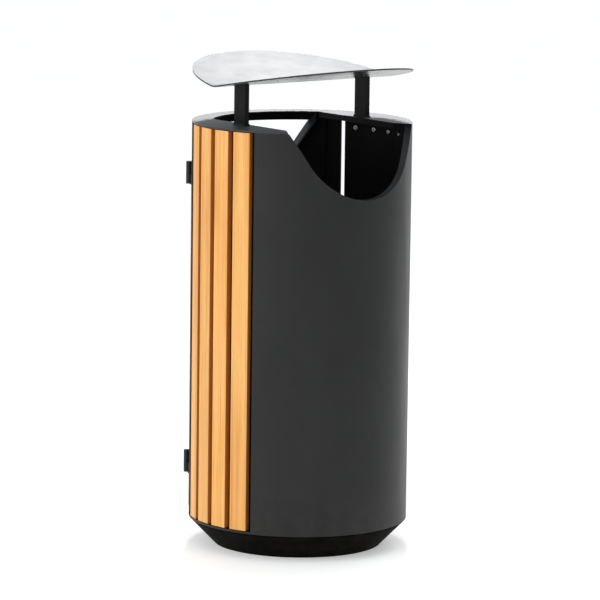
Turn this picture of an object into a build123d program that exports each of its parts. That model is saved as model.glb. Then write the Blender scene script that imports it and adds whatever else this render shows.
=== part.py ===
from build123d import *
import os
from math import asin, cos, degrees, radians, sin, sqrt, tan

# Round park litter bin, 50 litres: steel shell with two slatted timber sides, two throw-in
# openings, a folded sheet cover on two posts, a hinged rear door and a lift-out liner.
# Millimetres.  Origin: centre of the foot's underside.  +Z up, the front opening faces -Y.
# Plan angles are in degrees from the front (-Y), growing towards +X; 180 is the rear centre.

# ---------------------------------------------------------------- driving dimensions
shell_radius = 210.0
sheet = 3.0
foot_height = 50.0
shell_height = 765.0

rim_z = foot_height + shell_height
ring_z = rim_z - sheet
inner_radius = shell_radius - sheet

# foot and floor
foot_top_radius = 207.0
foot_bottom_radius = 161.0
foot_rim_width = 33.0
foot_flange_inner = 112.0
foot_flange = 4.0
anchor_hole = 12.0
anchor_circle = 130.0
floor_thickness = 4.0
floor_z = foot_height + floor_thickness
base_bolt_circle = 181.0
drain_hole = 10.0

# round-bottomed throw-in opening, measured square to its axis
opening_radius = 130.0
opening_half_width = 147.0
collar_depth = 12.0
collar_thickness = 2.5

# vertical divisions of the shell
front_panel_half = 62.2
backing_start = 60.1
backing_end = 117.4
jamb_start = 121.0
jamb_end = 131.5
door_half = 47.8
hinge_angle = 228.15

# timber sides
slats_per_side = 4
slat_pitch = 13.35
slat_width = 36.5
slat_thickness = 11.5
slat_gap = 1.5
backing_outer = 198.0
backing_inner = backing_outer - sheet
slat_inner = backing_outer + 0.2
slat_bottom = floor_z + slat_gap
slat_top = ring_z - slat_gap
slat_screw_heights = (floor_z + 23.0, (floor_z + ring_z) / 2, ring_z - 27.0)
slat_screw_shank = 5.0
slat_screw_hole = 5.2

# top ring
ring_chord = 128.0
ring_rear_inner = 172.0
ring_tip_y = -118.0
lip_depth = 8.0

# posts and cover
post_x = 144.0
post_width = 34.0
post_thickness = 10.0
post_foot_rim = 2.0
post_foot_height = 4.0
post_screw_y = 9.0
post_screw_shank = 2.5
valley_z = rim_z + 75.0
cover_radius = 210.0
wing_angle = 10.5
bend_radius = 60.0
countersink_radius = 4.6
countersink_depth = 2.6

# rear door
door_bottom = 62.0
door_top = ring_z - 2.5
door_strip_height = 15.0
return_depth = 10.0
edge_strip = 2.4

# hinges
hinge_radius = 216.0
knuckle_radius = 5.7
knuckle_length = 20.0
knuckle_gap = 0.4
hinge_pin_radius = 2.5
running_clearance = 0.05
hinge_heights = (129.0, 690.0)

# lock
lock_angle = 138.8
lock_z = 400.0
lock_barrel_radius = 9.0
spindle_radius = 5.0
cam_outer_face = 191.0
cam_thickness = 3.5
cam_width = 16.0
cam_reach = 38.0

# liner
liner_width = 296.0
liner_depth = 330.0
liner_corner = 110.0
liner_wall = 1.2
liner_base = 1.5
liner_height = 590.0
liner_rim = 2.5
handle_wire = 3.0
handle_half_width = 135.0
handle_reach = 172.0
handle_corner = 80.0
handle_bend = 6.0
handle_pin_end = 149.5
handle_rest_tilt = 9.4
boss_radius = 11.0
boss_length = 4.0
guide_height = 25.0
guide_gap = 2.0

liner_top = floor_z + liner_height
handle_z = liner_top - 14.0


# ---------------------------------------------------------------- shared geometry
def polar(radius, angle):
    """Plan point at a radius and an angle from the front."""
    return (radius * sin(radians(angle)), -radius * cos(radians(angle)))


def radial_plane(distance, angle, height):
    """Plane square to the radius, its normal outwards, its Y upwards."""
    x, y = polar(distance, angle)
    tangent = (cos(radians(angle)), sin(radians(angle)), 0)
    return Plane(origin=(x, y, height), x_dir=tangent, z_dir=(x / distance, y / distance, 0))


def curved_sheet(inner, outer, start, end, bottom, top):
    """Upright ring sector between two plan angles."""
    with BuildSketch(Plane.XY.offset(bottom)) as section:
        with BuildLine():
            outside = CenterArc((0, 0), outer, start - 90, end - start)
            inside = CenterArc((0, 0), inner, start - 90, end - start)
            Line(outside @ 0, inside @ 0)
            Line(outside @ 1, inside @ 1)
        make_face()
    extrude(section.sketch, amount=top - bottom)


def edge_return(angle, side, bottom, top, reach):
    """Radial fold, one sheet thick, inwards from a panel's upright edge."""
    turn = degrees(sheet / inner_radius) * side
    start, end = sorted((angle, angle + turn))
    curved_sheet(reach, inner_radius, start, end, bottom, top)


def opening_outline(grow):
    """Opening seen along its axis: flared straight sides tangent to a round bottom."""
    radius = opening_radius + grow
    flare = degrees(asin(sqrt(1 - (opening_radius / opening_half_width) ** 2)))
    above = 20.0
    side_x = radius * cos(radians(flare))
    side_z = rim_z - radius * sin(radians(flare))
    run = (radius * sin(radians(flare)) + above) * sin(radians(flare)) / cos(radians(flare))
    with BuildSketch(Plane.XZ) as outline:
        with BuildLine():
            Line((side_x + run, rim_z + above), (side_x, side_z))
            CenterArc((0, rim_z), radius, -flare, 2 * flare - 180)
            Line((-side_x, side_z), (-side_x - run, rim_z + above))
            Line((-side_x - run, rim_z + above), (side_x + run, rim_z + above))
        make_face()
    return outline.sketch


def collar(side, half_angle, bottom, top):
    """Strip that lines an opening, standing inwards from the shell; side is 1 at the front."""
    middle = 0 if side > 0 else 180
    start, end = middle - half_angle, middle + half_angle
    with BuildPart() as strip:
        curved_sheet(inner_radius - collar_depth, inner_radius, start, end, bottom, top)
        extrude(opening_outline(collar_thickness), amount=side * 300, mode=Mode.INTERSECT)
        extrude(opening_outline(0), amount=side * 300, mode=Mode.SUBTRACT)
    return strip


def screw(plane, head_radius, head_height, shank_radius, shank_length):
    """Domed socket screw: the head stands on the plane, the shank goes below it."""
    with BuildSketch(plane) as head:
        Circle(head_radius)
    extrude(head.sketch, amount=head_height)
    crown = edges(Select.LAST).sort_by(Axis(plane.origin, plane.z_dir))[-1]
    fillet(crown, head_height * 0.7)
    with BuildSketch(plane.offset(head_height)) as socket:
        RegularPolygon(head_radius * 0.38, 6)
    extrude(socket.sketch, amount=-head_height * 0.6, mode=Mode.SUBTRACT)
    with BuildSketch(plane) as shank:
        Circle(shank_radius)
    extrude(shank.sketch, amount=-shank_length)


def hex_nut(plane, flats, bore_radius, height):
    """Hexagon nut standing on the plane."""
    with BuildSketch(plane) as section:
        RegularPolygon(flats / 2, 6, major_radius=False)
        Circle(bore_radius, mode=Mode.SUBTRACT)
    extrude(section.sketch, amount=height)


def bore(plane, radius, depth, both=False):
    """Round hole cut into the part along the plane's normal."""
    with BuildSketch(plane) as hole:
        Circle(radius)
    extrude(hole.sketch, amount=depth, both=both, mode=Mode.SUBTRACT)


def slat_angles(side):
    """Plan angles of one side's slats, from the front backwards; side is 1 at +X."""
    first = 90 - slat_pitch * (slats_per_side - 1) / 2
    return [side * (first + slat_pitch * index) for index in range(slats_per_side)]


def span(start, end, side):
    """The same stretch of shell on either side, as rising plan angles."""
    return (start, end) if side > 0 else (-end, -start)


sides = {"left": -1, "right": 1}
pieces = {}

# ---------------------------------------------------------------- foot and floor
floor_bolt_angles = (0, 90, 180, 270)
anchor_angles = (45, 135, 225, 315)
floor_bolt_radius = 4.0

with BuildPart() as foot_cone:
    with BuildSketch(Plane.XZ) as cone_wall:
        with BuildLine():
            Polyline(
                (foot_flange_inner, 0),
                (foot_bottom_radius, 0),
                (foot_top_radius, foot_height - sheet),
                (foot_top_radius, foot_height),
                (foot_top_radius - foot_rim_width, foot_height),
                (foot_top_radius - foot_rim_width, foot_height - sheet),
                (foot_top_radius - 6, foot_height - sheet),
                (foot_bottom_radius - 3, foot_flange),
                (foot_flange_inner, foot_flange),
                close=True,
            )
        make_face()
    revolve(axis=Axis.Z)
    for angle in anchor_angles:
        bore(Plane(origin=(*polar(anchor_circle, angle), 0)), anchor_hole / 2, foot_flange)
    for angle in floor_bolt_angles:
        seat = Plane(origin=(*polar(base_bolt_circle, angle), foot_height - sheet))
        bore(seat, floor_bolt_radius, sheet)
pieces["foot_cone"] = foot_cone

with BuildPart() as floor_plate:
    with BuildSketch(Plane.XY.offset(foot_height)):
        Circle(shell_radius)
        with PolarLocations(base_bolt_circle, 4):
            Circle(floor_bolt_radius, mode=Mode.SUBTRACT)
        with PolarLocations(anchor_circle, 4, start_angle=45):
            Circle(anchor_hole + 4, mode=Mode.SUBTRACT)
        with PolarLocations(60, 6):
            Circle(drain_hole / 2, mode=Mode.SUBTRACT)
        Circle(drain_hole / 2, mode=Mode.SUBTRACT)
    extrude(amount=floor_thickness)
pieces["floor_plate"] = floor_plate

with BuildPart() as floor_bolts:
    for angle in floor_bolt_angles:
        seat = Plane(origin=(*polar(base_bolt_circle, angle), floor_z))
        screw(seat, 6.5, 4.5, floor_bolt_radius, floor_thickness + sheet + 9)
pieces["floor_bolts"] = floor_bolts

with BuildPart() as floor_nuts:
    for angle in floor_bolt_angles:
        seat = Plane(origin=(*polar(base_bolt_circle, angle), foot_height - sheet - 6.5))
        hex_nut(seat, 13, floor_bolt_radius, 6.5)
pieces["floor_nuts"] = floor_nuts

# ---------------------------------------------------------------- shell
with BuildPart() as front_panel:
    curved_sheet(inner_radius, shell_radius, -front_panel_half, front_panel_half, floor_z, ring_z)
    for side in (-1, 1):
        edge_return(side * front_panel_half, -side, floor_z, ring_z, backing_outer)
    extrude(opening_outline(0), amount=300, mode=Mode.SUBTRACT)
pieces["front_panel"] = front_panel

pieces["front_collar"] = collar(1, front_panel_half - 2, floor_z, ring_z)


def backing_plate(side):
    """Rolled plate behind the slats, drilled for their screws."""
    with BuildPart() as plate:
        start, end = span(backing_start, backing_end, side)
        curved_sheet(backing_inner, backing_outer, start, end, floor_z, ring_z)
        for angle in slat_angles(side):
            for height in slat_screw_heights:
                bore(radial_plane(backing_inner - 2, angle, height), slat_screw_hole / 2, sheet + 4)
    return plate


def jamb(side):
    """Fixed strip of shell between a slatted side and the door."""
    with BuildPart() as strip:
        start, end = span(jamb_start, jamb_end, side)
        curved_sheet(inner_radius, shell_radius, start, end, floor_z, ring_z)
    return strip


def slat(angle):
    """Flat timber board with eased edges, its face level with the shell."""
    x, y = polar(slat_inner + slat_thickness / 2, angle)
    with BuildPart() as board:
        with BuildSketch(Plane.XY.offset(slat_bottom)) as section:
            with Locations((x, y)):
                Rectangle(slat_width, slat_thickness, rotation=angle)
        extrude(section.sketch, amount=slat_top - slat_bottom)
        uprights = board.edges().filter_by(Axis.Z)
        outer_edges = uprights.sort_by(lambda edge: edge.center().X ** 2 + edge.center().Y ** 2)[-2:]
        fillet(outer_edges, 1.5)
        for height in slat_screw_heights:
            bore(radial_plane(slat_inner - 1, angle, height), slat_screw_hole / 2, slat_thickness - 1)
    return board


for side_name, side in sides.items():
    pieces[f"backing_plate_{side_name}"] = backing_plate(side)
    pieces[f"jamb_{side_name}"] = jamb(side)
    for number, angle in enumerate(slat_angles(side), 1):
        pieces[f"slat_{side_name}_{number}"] = slat(angle)

with BuildPart() as slat_screws:
    for side in sides.values():
        for angle in slat_angles(side):
            for height in slat_screw_heights:
                seat = radial_plane(backing_inner - 0.15, angle, height)
                inward = Plane(origin=seat.origin, x_dir=seat.x_dir, z_dir=-seat.z_dir)
                screw(inward, 5.5, 3.3, slat_screw_shank / 2, sheet + slat_thickness - 3)
pieces["slat_screws"] = slat_screws

# ---------------------------------------------------------------- top ring
with BuildPart() as top_ring:
    tip_y = -sqrt(shell_radius**2 - opening_half_width**2)
    tip_slope = (opening_half_width - ring_chord) / (ring_tip_y - tip_y)
    reach_y = -shell_radius - 20
    reach_x = ring_chord + (ring_tip_y - reach_y) * tip_slope
    chord_end_y = sqrt(ring_rear_inner**2 - ring_chord**2)
    with BuildSketch(Plane.XY.offset(ring_z)) as ring_plan:
        Circle(shell_radius)
        with BuildSketch(Plane.XY.offset(ring_z), mode=Mode.SUBTRACT):
            with BuildLine():
                Polyline(
                    (ring_chord, chord_end_y),
                    (ring_chord, ring_tip_y),
                    (reach_x, reach_y),
                    (-reach_x, reach_y),
                    (-ring_chord, ring_tip_y),
                    (-ring_chord, chord_end_y),
                )
                rear_left, rear_right = (-ring_chord, chord_end_y), (ring_chord, chord_end_y)
                ThreePointArc(rear_left, (0, ring_rear_inner), rear_right)
            make_face()
    extrude(ring_plan.sketch, amount=sheet)
    for side in (-1, 1):
        with BuildSketch(Plane.XY.offset(ring_z - lip_depth)) as lip:
            with Locations((side * (ring_chord + sheet / 2), (ring_tip_y + chord_end_y) / 2)):
                Rectangle(sheet, chord_end_y - ring_tip_y)
        extrude(lip.sketch, amount=lip_depth)
        for y in (-post_screw_y, post_screw_y):
            bore(Plane(origin=(side * post_x, y, ring_z)), post_screw_shank + 0.2, sheet)
pieces["top_ring"] = top_ring

# ---------------------------------------------------------------- posts and cover
bend_centre_z = valley_z + bend_radius
bend_half = bend_radius * sin(radians(wing_angle))
bend_rise = bend_radius * (1 - cos(radians(wing_angle)))
screw_turn = degrees(asin(post_screw_y / bend_radius))


def square_to_bend(x, turn, distance):
    """Plane square to the cover's bend, its normal up towards the bend's centre."""
    lean = radians(turn)
    origin = (x, distance * sin(lean), bend_centre_z - distance * cos(lean))
    return Plane(origin=origin, x_dir=(1, 0, 0), z_dir=(0, -sin(lean), cos(lean)))


def cover_post(side):
    """Flat-bar post, its top shaped to the cover's bend, with a weld rim round its foot."""
    bend_edge_z = valley_z + bend_rise
    shoulder_z = bend_edge_z + (post_width / 2 - bend_half) * tan(radians(wing_angle))
    with BuildPart() as post:
        with BuildSketch(Plane.YZ.offset(side * post_x - post_thickness / 2)) as bar:
            with BuildLine():
                Polyline(
                    (-bend_half, bend_edge_z),
                    (-post_width / 2, shoulder_z),
                    (-post_width / 2, rim_z),
                    (post_width / 2, rim_z),
                    (post_width / 2, shoulder_z),
                    (bend_half, bend_edge_z),
                )
                ThreePointArc((-bend_half, bend_edge_z), (0, valley_z), (bend_half, bend_edge_z))
            make_face()
        extrude(bar.sketch, amount=post_thickness)
        with BuildSketch(Plane.XY.offset(rim_z)) as foot_rim:
            with Locations((side * post_x, 0)):
                Rectangle(post_thickness + 2 * post_foot_rim, post_width + 2 * post_foot_rim)
        extrude(foot_rim.sketch, amount=post_foot_height, taper=25)
        for y in (-post_screw_y, post_screw_y):
            bore(Plane(origin=(side * post_x, y, rim_z)), post_screw_shank, 16)
        for turn in (-screw_turn, screw_turn):
            top = square_to_bend(side * post_x, turn, bend_radius - 1)
            bore(Plane(origin=top.origin, x_dir=top.x_dir, z_dir=-top.z_dir), post_screw_shank, 19)
    return post


for side_name, side in sides.items():
    pieces[f"cover_post_{side_name}"] = cover_post(side)

with BuildPart() as cover:
    wing_run = cover_radius + 10
    wing_length = (wing_run - bend_half) / cos(radians(wing_angle))
    with BuildSketch(Plane.YZ.offset(-wing_run)) as trough:
        with BuildLine():
            start = 270 - wing_angle
            under = CenterArc((0, bend_centre_z), bend_radius, start, 2 * wing_angle)
            upper = CenterArc((0, bend_centre_z), bend_radius - sheet, start, 2 * wing_angle)
            rear_under = PolarLine(under @ 1, wing_length, wing_angle)
            rear_upper = PolarLine(upper @ 1, wing_length, wing_angle)
            Line(rear_under @ 1, rear_upper @ 1)
            front_under = PolarLine(under @ 0, wing_length, 180 - wing_angle)
            front_upper = PolarLine(upper @ 0, wing_length, 180 - wing_angle)
            Line(front_under @ 1, front_upper @ 1)
        make_face()
    extrude(trough.sketch, amount=2 * wing_run)
    with BuildSketch(Plane.XY.offset(valley_z - 20)) as disc:
        Circle(cover_radius)
    extrude(disc.sketch, amount=120, mode=Mode.INTERSECT)
    for side in (-1, 1):
        for turn in (-screw_turn, screw_turn):
            mouth = square_to_bend(side * post_x, turn, bend_radius - sheet)
            with BuildSketch(mouth) as sink:
                Circle(countersink_radius + 0.1)
            extrude(sink.sketch, amount=-countersink_depth, taper=38, mode=Mode.SUBTRACT)
            bore(mouth.offset(-sheet - 2), post_screw_shank + 0.2, sheet + 4)
pieces["cover"] = cover

with BuildPart() as cover_screws:
    for side in (-1, 1):
        for turn in (-screw_turn, screw_turn):
            face = square_to_bend(side * post_x, turn, bend_radius - sheet)
            with BuildSketch(face) as head:
                Circle(countersink_radius)
            extrude(head.sketch, amount=-countersink_depth, taper=38)
            with BuildSketch(face.offset(-countersink_depth + 0.2)) as shank:
                Circle(post_screw_shank)
            extrude(shank.sketch, amount=-14)
            with BuildSketch(face) as socket:
                RegularPolygon(1.7, 6)
            extrude(socket.sketch, amount=-1.8, mode=Mode.SUBTRACT)
pieces["cover_screws"] = cover_screws

with BuildPart() as post_screws:
    for side in (-1, 1):
        for y in (-post_screw_y, post_screw_y):
            seat = Plane(origin=(side * post_x, y, ring_z), z_dir=(0, 0, -1))
            screw(seat, 4.5, 3.0, post_screw_shank, 15)
pieces["post_screws"] = post_screws

# ---------------------------------------------------------------- rear door
door_start = 180 - door_half
door_end = 180 + door_half

with BuildPart() as door_panel:
    curved_sheet(inner_radius, shell_radius, door_start, door_end, door_bottom, door_top)
    with BuildSketch(Plane.XZ) as window:
        add(opening_outline(0))
        with Locations((0, door_top - door_strip_height)):
            Rectangle(400, 100, align=(Align.CENTER, Align.MIN), mode=Mode.SUBTRACT)
    extrude(window.sketch, amount=-300, mode=Mode.SUBTRACT)
    edge_return(door_end, -1, door_bottom, door_top, inner_radius - return_depth)
    bore(radial_plane(inner_radius - 5, lock_angle, lock_z), lock_barrel_radius, 20)
pieces["door_panel"] = door_panel

pieces["rear_collar"] = collar(-1, door_half - 2.9, door_bottom, door_top)

strip_end = hinge_angle - 1.35
strip_start = strip_end - 3.2
upper_hinge_top = hinge_heights[1] + 2 * knuckle_length + knuckle_gap

with BuildPart() as door_edge_strip:
    outer = shell_radius + edge_strip
    curved_sheet(shell_radius, outer, strip_start, strip_end, door_bottom, upper_hinge_top)
pieces["door_edge_strip"] = door_edge_strip

# ---------------------------------------------------------------- hinges
hinge_x, hinge_y = polar(hinge_radius, hinge_angle)
tongue_thickness = 2.8
tongue_outer = shell_radius + tongue_thickness
tongue_start = hinge_angle + 0.45
tongue_end = tongue_start + 4.2

with BuildPart() as hinge_frame_knuckles:
    for base in hinge_heights:
        with BuildSketch(Plane(origin=(hinge_x, hinge_y, base))) as barrel:
            Circle(knuckle_radius)
        extrude(barrel.sketch, amount=knuckle_length)
        curved_sheet(shell_radius, tongue_outer, tongue_start, tongue_end, base, base + knuckle_length)
        bore(Plane(origin=(hinge_x, hinge_y, base)), hinge_pin_radius, knuckle_length)
pieces["hinge_frame_knuckles"] = hinge_frame_knuckles

with BuildPart() as hinge_door_knuckles:
    for base in hinge_heights:
        low = base + knuckle_length + knuckle_gap
        with BuildSketch(Plane(origin=(hinge_x, hinge_y, low))) as barrel:
            Circle(knuckle_radius)
        extrude(barrel.sketch, amount=knuckle_length)
        inner = shell_radius + edge_strip
        outer = inner + tongue_thickness
        curved_sheet(inner, outer, strip_start + 0.3, hinge_angle - 0.3, low, low + knuckle_length)
        bore(Plane(origin=(hinge_x, hinge_y, low)), hinge_pin_radius + running_clearance, knuckle_length)
pieces["hinge_door_knuckles"] = hinge_door_knuckles

with BuildPart() as hinge_pins:
    for base in hinge_heights:
        pin_top = base + 2 * (knuckle_length + knuckle_gap)
        with BuildSketch(Plane(origin=(hinge_x, hinge_y, base))) as shank:
            Circle(hinge_pin_radius)
        extrude(shank.sketch, amount=pin_top - base)
        with BuildSketch(Plane(origin=(hinge_x, hinge_y, pin_top))) as cap:
            Circle(knuckle_radius)
        extrude(cap.sketch, amount=2.5)
        fillet(edges(Select.LAST).sort_by(Axis.Z)[-1], 1.8)
pieces["hinge_pins"] = hinge_pins

# ---------------------------------------------------------------- lock
flange_face = shell_radius + 3.2
barrel_end = cam_outer_face + 0.6
key_recess = 7.0

with BuildPart() as lock_housing:
    with BuildSketch(radial_plane(barrel_end, lock_angle, lock_z)) as lock_barrel:
        Circle(lock_barrel_radius)
    extrude(lock_barrel.sketch, amount=flange_face - barrel_end)
    with BuildSketch(radial_plane(shell_radius + 0.1, lock_angle, lock_z)) as flange:
        Circle(lock_barrel_radius + 4)
    extrude(flange.sketch, amount=flange_face - shell_radius - 0.1)
    fillet(edges(Select.LAST).group_by(SortBy.DISTANCE)[-1].sort_by(SortBy.LENGTH)[-1], 1.0)
    bore(radial_plane(barrel_end, lock_angle, lock_z), spindle_radius + running_clearance, 40)
    bore(radial_plane(flange_face - key_recess, lock_angle, lock_z), 7.0, key_recess)
pieces["lock_housing"] = lock_housing

with BuildPart() as lock_nut:
    hex_nut(radial_plane(inner_radius - 6.6, lock_angle, lock_z), 24, lock_barrel_radius, 5.5)
pieces["lock_nut"] = lock_nut

with BuildPart() as lock_spindle:
    with BuildSketch(radial_plane(cam_outer_face - cam_thickness, lock_angle, lock_z)) as square:
        Rectangle(6.5, 6.5)
    extrude(square.sketch, amount=cam_thickness)
    with BuildSketch(radial_plane(cam_outer_face, lock_angle, lock_z)) as rod:
        Circle(spindle_radius)
    extrude(rod.sketch, amount=flange_face - key_recess - cam_outer_face)
    with BuildSketch(radial_plane(flange_face - key_recess, lock_angle, lock_z)) as key_head:
        RegularPolygon(5.0, 3, rotation=90)
    extrude(key_head.sketch, amount=key_recess - 1.0)
    bore(radial_plane(cam_outer_face - cam_thickness, lock_angle, lock_z), 2.5, 10)
pieces["lock_spindle"] = lock_spindle

with BuildPart() as lock_cam:
    with BuildSketch(radial_plane(cam_outer_face - cam_thickness, lock_angle, lock_z)) as blade:
        with Locations((0, (cam_width / 2 - cam_reach) / 2)):
            SlotOverall(cam_reach + cam_width / 2, cam_width, rotation=90)
        Rectangle(6.5, 6.5, mode=Mode.SUBTRACT)
    extrude(blade.sketch, amount=cam_thickness)
pieces["lock_cam"] = lock_cam

with BuildPart() as lock_cam_screw:
    seat = radial_plane(cam_outer_face - cam_thickness, lock_angle, lock_z)
    screw(Plane(origin=seat.origin, x_dir=seat.x_dir, z_dir=-seat.z_dir), 6.0, 3.0, 2.5, 9)
pieces["lock_cam_screw"] = lock_cam_screw

# the stop is joggled: its front half sits on the jamb, its rear half laps behind the door
stop_start = 129.7
stop_end = 134.6
with BuildPart() as door_stop:
    curved_sheet(inner_radius - sheet, inner_radius, stop_start, jamb_end, door_bottom, door_top)
    lap_outer = inner_radius - 0.3
    curved_sheet(lap_outer - sheet, lap_outer, jamb_end - 1, stop_end, door_bottom, door_top)
pieces["door_stop"] = door_stop

keeper_inner = 195.6
keeper_angles = (127.7, 129.3)
with BuildPart() as lock_keeper:
    curved_sheet(keeper_inner, inner_radius, *keeper_angles, lock_z - 20, lock_z + 20)
pieces["lock_keeper"] = lock_keeper

# ---------------------------------------------------------------- liner
with BuildPart() as liner_bucket:
    with BuildSketch(Plane.XY.offset(floor_z)) as liner_outside:
        RectangleRounded(liner_width, liner_depth, liner_corner)
    extrude(liner_outside.sketch, amount=liner_height)
    with BuildSketch(Plane.XY.offset(liner_top - 2)) as rim:
        rim_width = liner_width + 2 * liner_rim
        RectangleRounded(rim_width, liner_depth + 2 * liner_rim, liner_corner + liner_rim)
    extrude(rim.sketch, amount=2)
    with BuildSketch(Plane.XY.offset(floor_z + liner_base)) as liner_inside:
        inside_width = liner_width - 2 * liner_wall
        RectangleRounded(inside_width, liner_depth - 2 * liner_wall, liner_corner - liner_wall)
    extrude(liner_inside.sketch, amount=liner_height, mode=Mode.SUBTRACT)
    handle_axis = Plane(origin=(0, 0, handle_z), x_dir=(0, 1, 0), z_dir=(1, 0, 0))
    bore(handle_axis, handle_wire + running_clearance, liner_width, both=True)
pieces["liner_bucket"] = liner_bucket

boss_outer = liner_width / 2 - liner_wall
with BuildPart() as liner_bosses:
    for side in (-1, 1):
        face = Plane(origin=(side * boss_outer, 0, handle_z), x_dir=(0, 1, 0), z_dir=(-side, 0, 0))
        with BuildSketch(face) as boss:
            Circle(boss_radius)
            Circle(handle_wire + running_clearance, mode=Mode.SUBTRACT)
        extrude(boss.sketch, amount=boss_length)
pieces["liner_bosses"] = liner_bosses

# the folded handle rests on the liner's rim, tilted up from its pivots
tilt = radians(handle_rest_tilt)
handle_plane = Plane(origin=(0, 0, handle_z), x_dir=(1, 0, 0), z_dir=(0, sin(tilt), cos(tilt)))
with BuildPart() as liner_handle:
    with BuildLine(handle_plane) as wire:
        FilletPolyline(
            (handle_pin_end, 0),
            (handle_half_width, 0),
            (handle_half_width, -handle_reach),
            (-handle_half_width, -handle_reach),
            (-handle_half_width, 0),
            (-handle_pin_end, 0),
            radius=[handle_bend, handle_corner, handle_corner, handle_bend],
        )
    with BuildSketch(Plane(origin=wire.line @ 0, z_dir=wire.line % 0)):
        Circle(handle_wire)
    sweep(path=wire.line)
pieces["liner_handle"] = liner_handle

with BuildPart() as liner_guides:
    with BuildSketch(Plane.XY.offset(floor_z)) as guide:
        for side in (-1, 1):
            with Locations((side * (liner_width / 2 + guide_gap + sheet / 2), 0)):
                Rectangle(sheet, 36)
            with Locations((0, side * (liner_depth / 2 + guide_gap + sheet / 2))):
                Rectangle(36, sheet)
    extrude(guide.sketch, amount=guide_height)
pieces["liner_guides"] = liner_guides

# ---------------------------------------------------------------- write the pieces
os.makedirs("parts", exist_ok=True)
for label, piece in pieces.items():
    piece.part.label = label
    export_step(piece.part, f"parts/{label}.step")
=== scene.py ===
import math

import bpy
from mathutils import Matrix, Vector


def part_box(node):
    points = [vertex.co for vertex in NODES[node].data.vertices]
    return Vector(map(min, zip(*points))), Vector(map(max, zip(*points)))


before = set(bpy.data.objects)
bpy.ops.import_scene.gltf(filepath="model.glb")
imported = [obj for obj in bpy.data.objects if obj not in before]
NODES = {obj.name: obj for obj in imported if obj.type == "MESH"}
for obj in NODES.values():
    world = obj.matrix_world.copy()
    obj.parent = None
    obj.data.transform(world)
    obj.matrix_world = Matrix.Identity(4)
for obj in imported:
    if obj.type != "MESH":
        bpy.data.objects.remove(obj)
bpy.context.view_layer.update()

SIDES = ("left", "right")
SLATS_PER_SIDE = 4
WHITE = (1.0, 1.0, 1.0, 1.0)

# The photograph's viewpoint, from the middle of the foot's underside, then the camera's aim.
CAMERA_AZIMUTH = math.radians(-37.3)
CAMERA_DISTANCE = 7.757
CAMERA_HEIGHT = 1.6627
CAMERA_PITCH = 0.15262
CAMERA_ROLL = 0.01278
FOCAL_LENGTH = 245.6
SENSOR_WIDTH = 36.0
CLIP_END = 100.0

# The floor gives off a little light, to reach the photograph's white.
FLOOR_REACH = 60.0
FLOOR_GLOW = 0.30
FLOOR_ROUGHNESS = 0.8

# Sky light: its strength near the horizon and overhead, and the heights it fades between.
SKY_LOW = 0.30
SKY_HIGH = 0.85
SKY_FADE_START = 0.05
SKY_FADE_END = 0.45
SKY_TINT = (0.95, 0.975, 1.0, 1.0)

# What the lights aim at: the middle of the bin, or the part between its ring and its cover.
BIN_MIDDLE = (0.0, 0.0, 0.45)
BIN_TOP = (0.0, 0.0, 0.84)

# A face counts as facing a direction when its unit normal reaches this far along it.
FACING = 0.6
LIP_RADIUS = 0.205
OPENING_LOWEST = 0.6
UPWARD_LEAST = 0.05


# ---------------------------------------------------------------- camera
def make_camera():
    away = Vector((math.sin(CAMERA_AZIMUTH), -math.cos(CAMERA_AZIMUTH), 0.0))
    across = Vector((math.cos(CAMERA_AZIMUTH), math.sin(CAMERA_AZIMUTH), 0.0))
    forward = -away * math.cos(CAMERA_PITCH) - Vector((0.0, 0.0, math.sin(CAMERA_PITCH)))
    up = across.cross(forward)
    right = across * math.cos(CAMERA_ROLL) + up * math.sin(CAMERA_ROLL)
    top = up * math.cos(CAMERA_ROLL) - across * math.sin(CAMERA_ROLL)
    data = bpy.data.cameras.new("camera")
    data.sensor_width = SENSOR_WIDTH
    data.lens = FOCAL_LENGTH
    data.clip_end = CLIP_END
    camera = bpy.data.objects.new("camera", data)
    bpy.context.scene.collection.objects.link(camera)
    turn = Matrix((right, top, -forward)).transposed()
    place = away * CAMERA_DISTANCE + Vector((0.0, 0.0, CAMERA_HEIGHT))
    camera.matrix_world = Matrix.Translation(place) @ turn.to_4x4()
    bpy.context.scene.camera = camera


make_camera()


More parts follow.
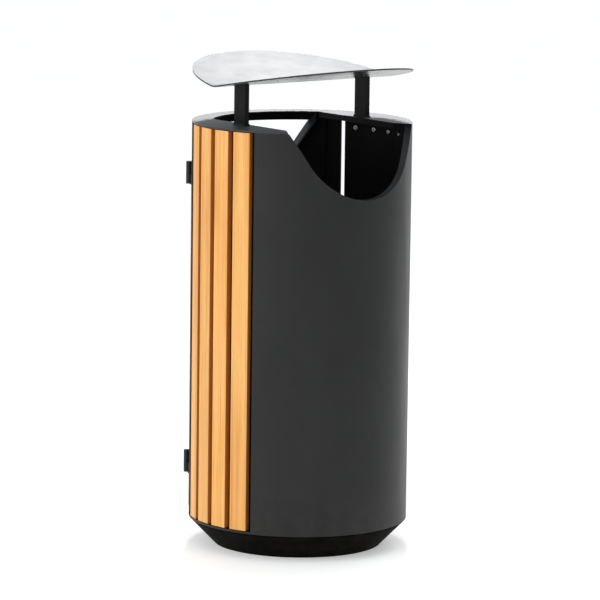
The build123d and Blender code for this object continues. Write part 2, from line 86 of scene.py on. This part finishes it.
# ---------------------------------------------------------------- node helpers
class Graph:
    """A material's node tree, built with short calls."""

    def __init__(self, name):
        self.material = bpy.data.materials.new(name)
        self.material.use_nodes = True
        self.tree = self.material.node_tree
        self.shader = self.tree.nodes["Principled BSDF"]
        self.place = self.node("ShaderNodeTexCoord").outputs["Object"]

    def node(self, kind, **settings):
        made = self.tree.nodes.new(kind)
        for key, value in settings.items():
            setattr(made, key, value)
        return made

    def link(self, source, target):
        """Links a socket to the target, or sets a constant on it."""
        if isinstance(source, bpy.types.NodeSocket):
            self.tree.links.new(source, target)
        else:
            target.default_value = source

    def mapping(self, scale, offset=(0.0, 0.0, 0.0), turn=0.0):
        """Object coordinates turned about Z, moved, then scaled."""
        turned = self.node("ShaderNodeMapping")
        turned.inputs["Rotation"].default_value = (0.0, 0.0, turn)
        turned.inputs["Location"].default_value = offset
        self.link(self.place, turned.inputs["Vector"])
        scaled = self.node("ShaderNodeVectorMath", operation="MULTIPLY")
        scaled.inputs[1].default_value = scale
        self.link(turned.outputs["Vector"], scaled.inputs[0])
        return scaled.outputs["Vector"]

    def noise(self, vector, scale=1.0, detail=4.0, rough=0.55, distort=0.0):
        made = self.node("ShaderNodeTexNoise")
        made.inputs["Scale"].default_value = scale
        made.inputs["Detail"].default_value = detail
        made.inputs["Roughness"].default_value = rough
        made.inputs["Distortion"].default_value = distort
        self.link(vector, made.inputs["Vector"])
        return made.outputs["Fac"]

    def spread(self, source, low, high, start=0.0, end=1.0):
        """Maps low..high to start..end, clamped."""
        made = self.node("ShaderNodeMapRange")
        self.link(source, made.inputs["Value"])
        made.inputs["From Min"].default_value = low
        made.inputs["From Max"].default_value = high
        made.inputs["To Min"].default_value = start
        made.inputs["To Max"].default_value = end
        return made.outputs["Result"]

    def maths(self, operation, first, second=0.0):
        made = self.node("ShaderNodeMath", operation=operation)
        self.link(first, made.inputs[0])
        self.link(second, made.inputs[1])
        return made.outputs["Value"]

    def mix(self, factor, first, second):
        """Goes from the first colour to the second as the factor goes from 0 to 1."""
        made = self.node("ShaderNodeMix", data_type="RGBA", blend_type="MIX")
        self.link(factor, made.inputs["Factor"])
        self.link(first, made.inputs["A"])
        self.link(second, made.inputs["B"])
        return made.outputs["Result"]

    def bump(self, height, strength, distance, normal=None):
        made = self.node("ShaderNodeBump")
        made.inputs["Strength"].default_value = strength
        made.inputs["Distance"].default_value = distance
        self.link(height, made.inputs["Height"])
        if normal is not None:
            self.link(normal, made.inputs["Normal"])
        return made.outputs["Normal"]

    def finish(self, color, rough, normal=None, **settings):
        self.link(color, self.shader.inputs["Base Color"])
        self.link(rough, self.shader.inputs["Roughness"])
        if normal is not None:
            self.link(normal, self.shader.inputs["Normal"])
        for key, value in settings.items():
            self.shader.inputs[key.replace("_", " ")].default_value = value
        return self.material


def rgb(red, green, blue):
    """sRGB 0..255 to a linear colour with alpha."""
    parts = []
    for part in (red, green, blue):
        part = part / 255
        parts.append(part / 12.92 if part <= 0.04045 else ((part + 0.055) / 1.055) ** 2.4)
    return (*parts, 1.0)


# ---------------------------------------------------------------- materials
DUST_COLOR = rgb(118, 108, 92)
DUST_TOP = 0.16
FLECK_GAIN = 2.2


def powder_coat(name, dark, light, rough, ior=1.5, gloss=0.5, dust=0.0):
    """Powder-coated steel: orange peel, faint cloudiness and, where asked for, ground dust."""
    g = Graph(name)
    cloud = g.noise(g.mapping((1.0, 1.0, 0.6)), scale=9.0, detail=5.0, rough=0.6)
    fleck = g.noise(g.place, scale=1700.0, detail=2.0, rough=0.7)
    fleck_color = (*[min(1.0, part * FLECK_GAIN) for part in light[:3]], 1.0)
    color = g.mix(g.spread(cloud, 0.30, 0.70), dark, light)
    color = g.mix(g.spread(fleck, 0.58, 0.75, end=0.35), color, fleck_color)
    if dust:
        split = g.node("ShaderNodeSeparateXYZ")
        g.link(g.place, split.inputs["Vector"])
        low_down = g.spread(split.outputs["Z"], DUST_TOP, 0.0)
        patch = g.spread(g.noise(g.place, scale=34.0, detail=6.0, rough=0.7), 0.42, 0.72)
        dusty = g.maths("MULTIPLY", g.maths("MULTIPLY", low_down, patch), dust)
        color = g.mix(dusty, color, DUST_COLOR)
    smear = g.noise(g.mapping((1.0, 1.0, 0.25)), scale=22.0, detail=3.0)
    roughness = g.spread(smear, 0.25, 0.75, start=rough - 0.045, end=rough + 0.055)
    peel = g.noise(g.place, scale=620.0, detail=1.5, rough=0.5)
    wave = g.noise(g.place, scale=14.0, detail=1.0)
    normal = g.bump(wave, strength=0.05, distance=0.004)
    normal = g.bump(peel, strength=0.10, distance=0.00035, normal=normal)
    return g.finish(color, roughness, normal, IOR=ior, Specular_IOR_Level=gloss)


# sRGB colours of a board: pale and honey for its face, then a deep and a red shade for its figure.
TIMBER_TONES = ((234, 180, 106), (219, 157, 80), (186, 114, 46), (194, 122, 62))
PORE_COLOR = rgb(120, 72, 34)
END_COLOR = rgb(128, 80, 40)
# Painted shade for the boards' sides in the gaps: a darker saturated brown, and how strongly it
# covers them.
SIDE_SHADE_COLOR = rgb(172, 88, 12)
SIDE_SHADE_AMOUNT = 0.85


def timber(name, seed, angle, tone):
    """Oiled hardwood board, its grain upright; angle turns the texture square to the board."""
    g = Graph(name)
    shift = (0.37 * seed, 0.53 * seed, 0.71 * seed)
    band = g.noise(g.mapping((52.0, 52.0, 2.1), shift, angle), detail=5.0, rough=0.55, distort=0.6)
    fibre = g.noise(g.mapping((620.0, 620.0, 11.0), shift, angle), detail=4.0, rough=0.65)
    streak = g.noise(g.mapping((210.0, 210.0, 3.2), shift, angle), detail=6.0, rough=0.6, distort=0.3)
    pore = g.noise(g.mapping((900.0, 900.0, 55.0), shift, angle), detail=2.0, rough=0.5)
    blotch = g.noise(g.mapping((9.0, 9.0, 3.0), shift, angle), detail=3.0, rough=0.6)
    pale, honey, deep, red = (
        rgb(*[min(255, part * tone) for part in color])
        for color in TIMBER_TONES
    )
    color = g.mix(g.spread(band, 0.32, 0.68), pale, honey)
    color = g.mix(g.spread(streak, 0.50, 0.78, end=0.75), color, deep)
    color = g.mix(g.spread(fibre, 0.46, 0.80, end=0.45), color, deep)
    color = g.mix(g.spread(blotch, 0.50, 0.80, end=0.35), color, red)
    pores = g.spread(pore, 0.70, 0.78, end=0.55)
    color = g.mix(pores, color, PORE_COLOR)
    # The board's ends face up or down and get darker end grain; its sides face away from straight out
    # of the bin and get a painted shade, the darker brown of the shaded gaps between boards.
    facing = g.node("ShaderNodeNewGeometry").outputs["Normal"]
    split = g.node("ShaderNodeSeparateXYZ")
    g.link(facing, split.inputs["Vector"])
    end_grain = g.spread(g.maths("ABSOLUTE", split.outputs["Z"]), 0.7, 0.95, end=0.6)
    color = g.mix(end_grain, color, END_COLOR)
    outward = g.node("ShaderNodeVectorMath", operation="DOT_PRODUCT")
    g.link(facing, outward.inputs[0])
    outward.inputs[1].default_value = (math.cos(angle), -math.sin(angle), 0.0)
    side = g.spread(outward.outputs["Value"], 0.75, 0.25)
    color = g.mix(g.maths("MULTIPLY", side, SIDE_SHADE_AMOUNT), color, SIDE_SHADE_COLOR)
    roughness = g.spread(streak, 0.3, 0.8, start=0.50, end=0.66)
    height = g.maths("SUBTRACT", g.maths("MULTIPLY", fibre, 0.6), pores)
    normal = g.bump(height, strength=0.35, distance=0.00025)
    normal = g.bump(band, strength=0.12, distance=0.0006, normal=normal)
    return g.finish(color, roughness, normal, IOR=1.45)


SPANGLE_SCALE = 120.0
SPANGLE_WARP = 0.012
BRUSH_STRETCH = 0.03


def bright_metal(name, dark, light, rough, spangle=False, brushed=False):
    """Bare or plated metal: spangle for galvanised sheet, brushing for turned parts."""
    g = Graph(name)
    if spangle:
        cells = g.node("ShaderNodeTexVoronoi")
        cells.inputs["Scale"].default_value = SPANGLE_SCALE
        warped = g.noise(g.place, scale=40.0, detail=3.0)
        moved = g.node("ShaderNodeVectorMath", operation="ADD")
        g.link(g.place, moved.inputs[0])
        push = g.node("ShaderNodeVectorMath", operation="SCALE")
        g.link(warped, push.inputs[0])
        push.inputs["Scale"].default_value = SPANGLE_WARP
        g.link(push.outputs["Vector"], moved.inputs[1])
        g.link(moved.outputs["Vector"], cells.inputs["Vector"])
        tint = g.node("ShaderNodeSeparateColor")
        g.link(cells.outputs["Color"], tint.inputs["Color"])
        pattern = tint.outputs["Red"]
    else:
        pattern = g.noise(g.place, scale=260.0, detail=4.0, rough=0.6)
    wear = g.noise(g.place, scale=30.0, detail=5.0, rough=0.65)
    color = g.mix(pattern, dark, light)
    color = g.mix(g.spread(wear, 0.55, 0.80, end=0.4), color, dark)
    stretch = BRUSH_STRETCH if brushed else 1.0
    fine = g.noise(g.mapping((1.0, 1.0, stretch)), scale=1500.0, detail=3.0)
    patchy = g.spread(pattern, 0.0, 1.0, start=rough - 0.06, end=rough + 0.08)
    grainy = g.spread(fine, 0.3, 0.7, start=-0.04, end=0.04)
    roughness = g.maths("ADD", patchy, grainy)
    normal = g.bump(fine, strength=0.12, distance=0.0001)
    return g.finish(color, roughness, normal, Metallic=1.0)


TOP_DARK = rgb(30, 31, 33)
TOP_LIGHT = rgb(36, 37, 39)

paint = powder_coat("paint_anthracite", rgb(27, 27, 27), rgb(33, 33, 33), 0.42, gloss=0.26, dust=0.10)
# Near-black, nearly glossless copy of the paint: painted shade for the bin's inward faces, ring lips
# and hidden inner parts, which stand in shade.
paint_inside_shade = powder_coat("paint_inside_shade", rgb(6, 6, 6), rgb(9, 9, 8), 0.65, gloss=0.12)
paint_top = powder_coat("paint_top", TOP_DARK, TOP_LIGHT, 0.50, ior=1.7)
paint_ring = powder_coat("paint_ring", TOP_DARK, TOP_LIGHT, 0.50, ior=2.1)
paint_under = powder_coat("paint_under", TOP_DARK, TOP_LIGHT, 0.24, ior=1.8)
# A slightly lighter, bluer, glossier copy of the paint: a painted sheen standing for the sky's
# reflection on edges, collars, jambs and strips.
paint_edge_sheen = powder_coat("paint_edge_sheen", rgb(30, 32, 35), rgb(38, 40, 44), 0.35)
paint_post = powder_coat("paint_post", rgb(13, 13, 10), rgb(19, 19, 15), 0.45, gloss=0.12)
# Near-black, almost glossless: a black foot, darkened further as painted shade from standing on the
# ground.
paint_foot_shaded = powder_coat("paint_foot_shaded", rgb(6, 6, 5), rgb(9, 9, 7), 0.65, gloss=0.02, dust=0.04)
paint_hinge = powder_coat("paint_hinge", rgb(16, 16, 16), rgb(23, 23, 22), 0.40, gloss=0.35)
stainless = bright_metal("stainless", rgb(140, 141, 143), rgb(176, 177, 178), 0.34)
dark_fixing = bright_metal("zinc_dark", rgb(74, 75, 78), rgb(104, 105, 108), 0.42)
plated = bright_metal("plated_lock", rgb(150, 150, 152), rgb(190, 190, 192), 0.24, brushed=True)
galvanised = bright_metal("galvanised", rgb(148, 152, 155), rgb(168, 172, 175), 0.40, spangle=True)


# ---------------------------------------------------------------- which piece has which material
def dress(material, *nodes):
    """Gives whole nodes a material."""
    for node in nodes:
        mesh = NODES[node].data
        if not mesh.materials:
            mesh.materials.append(material)
        for slot in range(len(mesh.materials)):
            mesh.materials[slot] = material


def dress_faces(material, chosen, *nodes):
    """Gives the faces picked by their centre and normal a further material."""
    for node in nodes:
        mesh = NODES[node].data
        mesh.materials.append(material)
        added = len(mesh.materials) - 1
        for face in mesh.polygons:
            if chosen(face.center, face.normal):
                face.material_index = added


def inward(center, normal):
    """Faces towards the bin's axis."""
    return normal.x * center.x + normal.y * center.y < -FACING * math.hypot(center.x, center.y)


def upright(center, normal):
    return abs(normal.z) < FACING


def lip_side(center, normal):
    """The ring's folded lips and inner edge, below its top face."""
    return upright(center, normal) and math.hypot(center.x, center.y) < LIP_RADIUS


def downward(center, normal):
    return normal.z < -FACING


def cut_edge(center, normal):
    """The upward edge along a throw-in opening, which faces neither out of the shell nor in."""
    radial = abs(normal.x * center.x + normal.y * center.y) / math.hypot(center.x, center.y)
    return center.z > OPENING_LOWEST and radial < FACING and normal.z > UPWARD_LEAST


dress(paint, "front_panel", "door_panel", "floor_plate")
# Collars, jambs and the door's edge strip get the lighter copy as painted sheen.
dress(paint_edge_sheen, "front_collar", "rear_collar", "jamb_left", "jamb_right", "door_edge_strip")
# Backing plates and inner parts get the near-black copy as painted shade.
dress(paint_inside_shade, "backing_plate_left", "backing_plate_right")
dress(paint_inside_shade, "liner_guides", "lock_keeper", "door_stop")
dress(paint_ring, "top_ring")
dress(paint_top, "cover")
dress(paint_post, "cover_post_left", "cover_post_right")
dress(paint_foot_shaded, "foot_cone")
dress(paint_hinge, "hinge_frame_knuckles", "hinge_door_knuckles", "hinge_pins")
dress(stainless, "slat_screws", "floor_bolts", "floor_nuts", "lock_cam_screw")
dress(dark_fixing, "cover_screws", "post_screws")
dress(plated, "lock_housing", "lock_nut", "lock_spindle", "lock_cam")
dress(galvanised, "liner_bucket", "liner_bosses", "liner_handle")

# Inward faces of the shell get the near-black copy as painted shade.
dress_faces(paint_inside_shade, inward, "front_panel", "door_panel", "jamb_left", "jamb_right")
# Upward cut edges of the openings get the lighter copy as painted sheen.
dress_faces(paint_edge_sheen, cut_edge, "front_panel", "door_panel")
# Upright faces of the ring and cover get the same painted sheen.
dress_faces(paint_edge_sheen, upright, "top_ring", "cover")
# The ring's lips and inner edge get the near-black copy as painted shade.
dress_faces(paint_inside_shade, lip_side, "top_ring")
dress_faces(paint_under, downward, "cover")

# Each board's brightness, from the front backwards; no two side by side match.
TONES = {"left": (1.02, 1.04, 1.01, 1.02), "right": (1.00, 1.02, 1.03, 0.99)}
SEEDS_PER_SIDE = 5

for side_number, side in enumerate(SIDES):
    for number in range(1, SLATS_PER_SIDE + 1):
        slat = f"slat_{side}_{number}"
        slat_low, slat_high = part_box(slat)
        middle = (slat_low + slat_high) / 2
        angle = -math.atan2(middle.y, middle.x)
        seed = 1 + number + SEEDS_PER_SIDE * side_number
        dress(timber(f"timber_{side}_{number}", seed, angle, TONES[side][number - 1]), slat)


# ---------------------------------------------------------------- floor, world and lights
def make_floor():
    mesh = bpy.data.meshes.new("floor")
    corners = [
        (-FLOOR_REACH, -FLOOR_REACH, 0.0),
        (FLOOR_REACH, -FLOOR_REACH, 0.0),
        (FLOOR_REACH, FLOOR_REACH, 0.0),
        (-FLOOR_REACH, FLOOR_REACH, 0.0),
    ]
    mesh.from_pydata(corners, [], [(0, 1, 2, 3)])
    floor = bpy.data.objects.new("floor", mesh)
    bpy.context.scene.collection.objects.link(floor)
    g = Graph("floor")
    tone = g.noise(g.place, scale=3.0, detail=4.0)
    pale = g.mix(g.spread(tone, 0.3, 0.7), rgb(246, 246, 245), rgb(250, 250, 249))
    g.link(pale, g.shader.inputs["Emission Color"])
    mesh.materials.append(g.finish(pale, FLOOR_ROUGHNESS, Emission_Strength=FLOOR_GLOW))


def place_light(data, power, color, azimuth, elevation, distance, target):
    """Hangs a light round the target and aims it there; azimuth 0 is in front of the bin."""
    data.energy = power
    data.color = color
    light = bpy.data.objects.new(data.name, data)
    bpy.context.scene.collection.objects.link(light)
    a = math.radians(azimuth)
    e = math.radians(elevation)
    back = Vector((math.sin(a) * math.cos(e), -math.cos(a) * math.cos(e), math.sin(e)))
    place = Vector(target) + back * distance
    turn = back.to_track_quat("Z", "Y").to_matrix()
    light.matrix_world = Matrix.Translation(place) @ turn.to_4x4()
    light.visible_camera = False


def soft_box(name, size):
    data = bpy.data.lights.new(name, "AREA")
    data.shape = "RECTANGLE"
    data.size, data.size_y = size
    return data


def soft_spot(name, radius, cone):
    """Large soft spot; its cone is in degrees."""
    data = bpy.data.lights.new(name, "SPOT")
    data.shadow_soft_size = radius
    data.spot_size = math.radians(cone)
    data.spot_blend = 0.5
    return data


def make_lights():
    """A soft box at the right rear, a spot from behind on the top, and a soft box on the left."""
    place_light(
        soft_box("rear_key", (2.2, 2.2)), power=38.0, color=(1.0, 0.975, 0.94),
        azimuth=108.0, elevation=30.0, distance=4.0, target=BIN_MIDDLE,
    )
    place_light(
        soft_spot("back", radius=0.45, cone=13.0), power=1000.0, color=(0.97, 0.985, 1.0),
        azimuth=142.0, elevation=46.0, distance=4.5, target=BIN_TOP,
    )
    place_light(
        soft_box("left", (2.6, 2.0)), power=50.0, color=(1.0, 0.985, 0.96),
        azimuth=-94.0, elevation=22.0, distance=4.0, target=BIN_MIDDLE,
    )


def make_world():
    """White to the eye. As a light source it is an overhead sky that fades towards the horizon."""
    world = bpy.data.worlds.new("studio")
    bpy.context.scene.world = world
    world.use_nodes = True
    tree = world.node_tree
    tree.nodes.clear()
    out = tree.nodes.new("ShaderNodeOutputWorld")
    mix = tree.nodes.new("ShaderNodeMixShader")
    path = tree.nodes.new("ShaderNodeLightPath")
    where = tree.nodes.new("ShaderNodeTexCoord")
    split = tree.nodes.new("ShaderNodeSeparateXYZ")
    tree.links.new(where.outputs["Generated"], split.inputs["Vector"])
    height = tree.nodes.new("ShaderNodeMapRange")
    height.interpolation_type = "SMOOTHSTEP"
    height.inputs["From Min"].default_value = SKY_FADE_START
    height.inputs["From Max"].default_value = SKY_FADE_END
    height.inputs["To Min"].default_value = SKY_LOW
    height.inputs["To Max"].default_value = SKY_HIGH
    tree.links.new(split.outputs["Z"], height.inputs["Value"])
    soft = tree.nodes.new("ShaderNodeBackground")
    soft.inputs["Color"].default_value = SKY_TINT
    tree.links.new(height.outputs["Result"], soft.inputs["Strength"])
    seen = tree.nodes.new("ShaderNodeBackground")
    seen.inputs["Color"].default_value = WHITE
    seen.inputs["Strength"].default_value = 1.0
    tree.links.new(path.outputs["Is Camera Ray"], mix.inputs[0])
    tree.links.new(soft.outputs[0], mix.inputs[1])
    tree.links.new(seen.outputs[0], mix.inputs[2])
    tree.links.new(mix.outputs[0], out.inputs["Surface"])


make_floor()
make_world()
make_lights()
bpy.context.scene.view_settings.view_transform = "Standard"
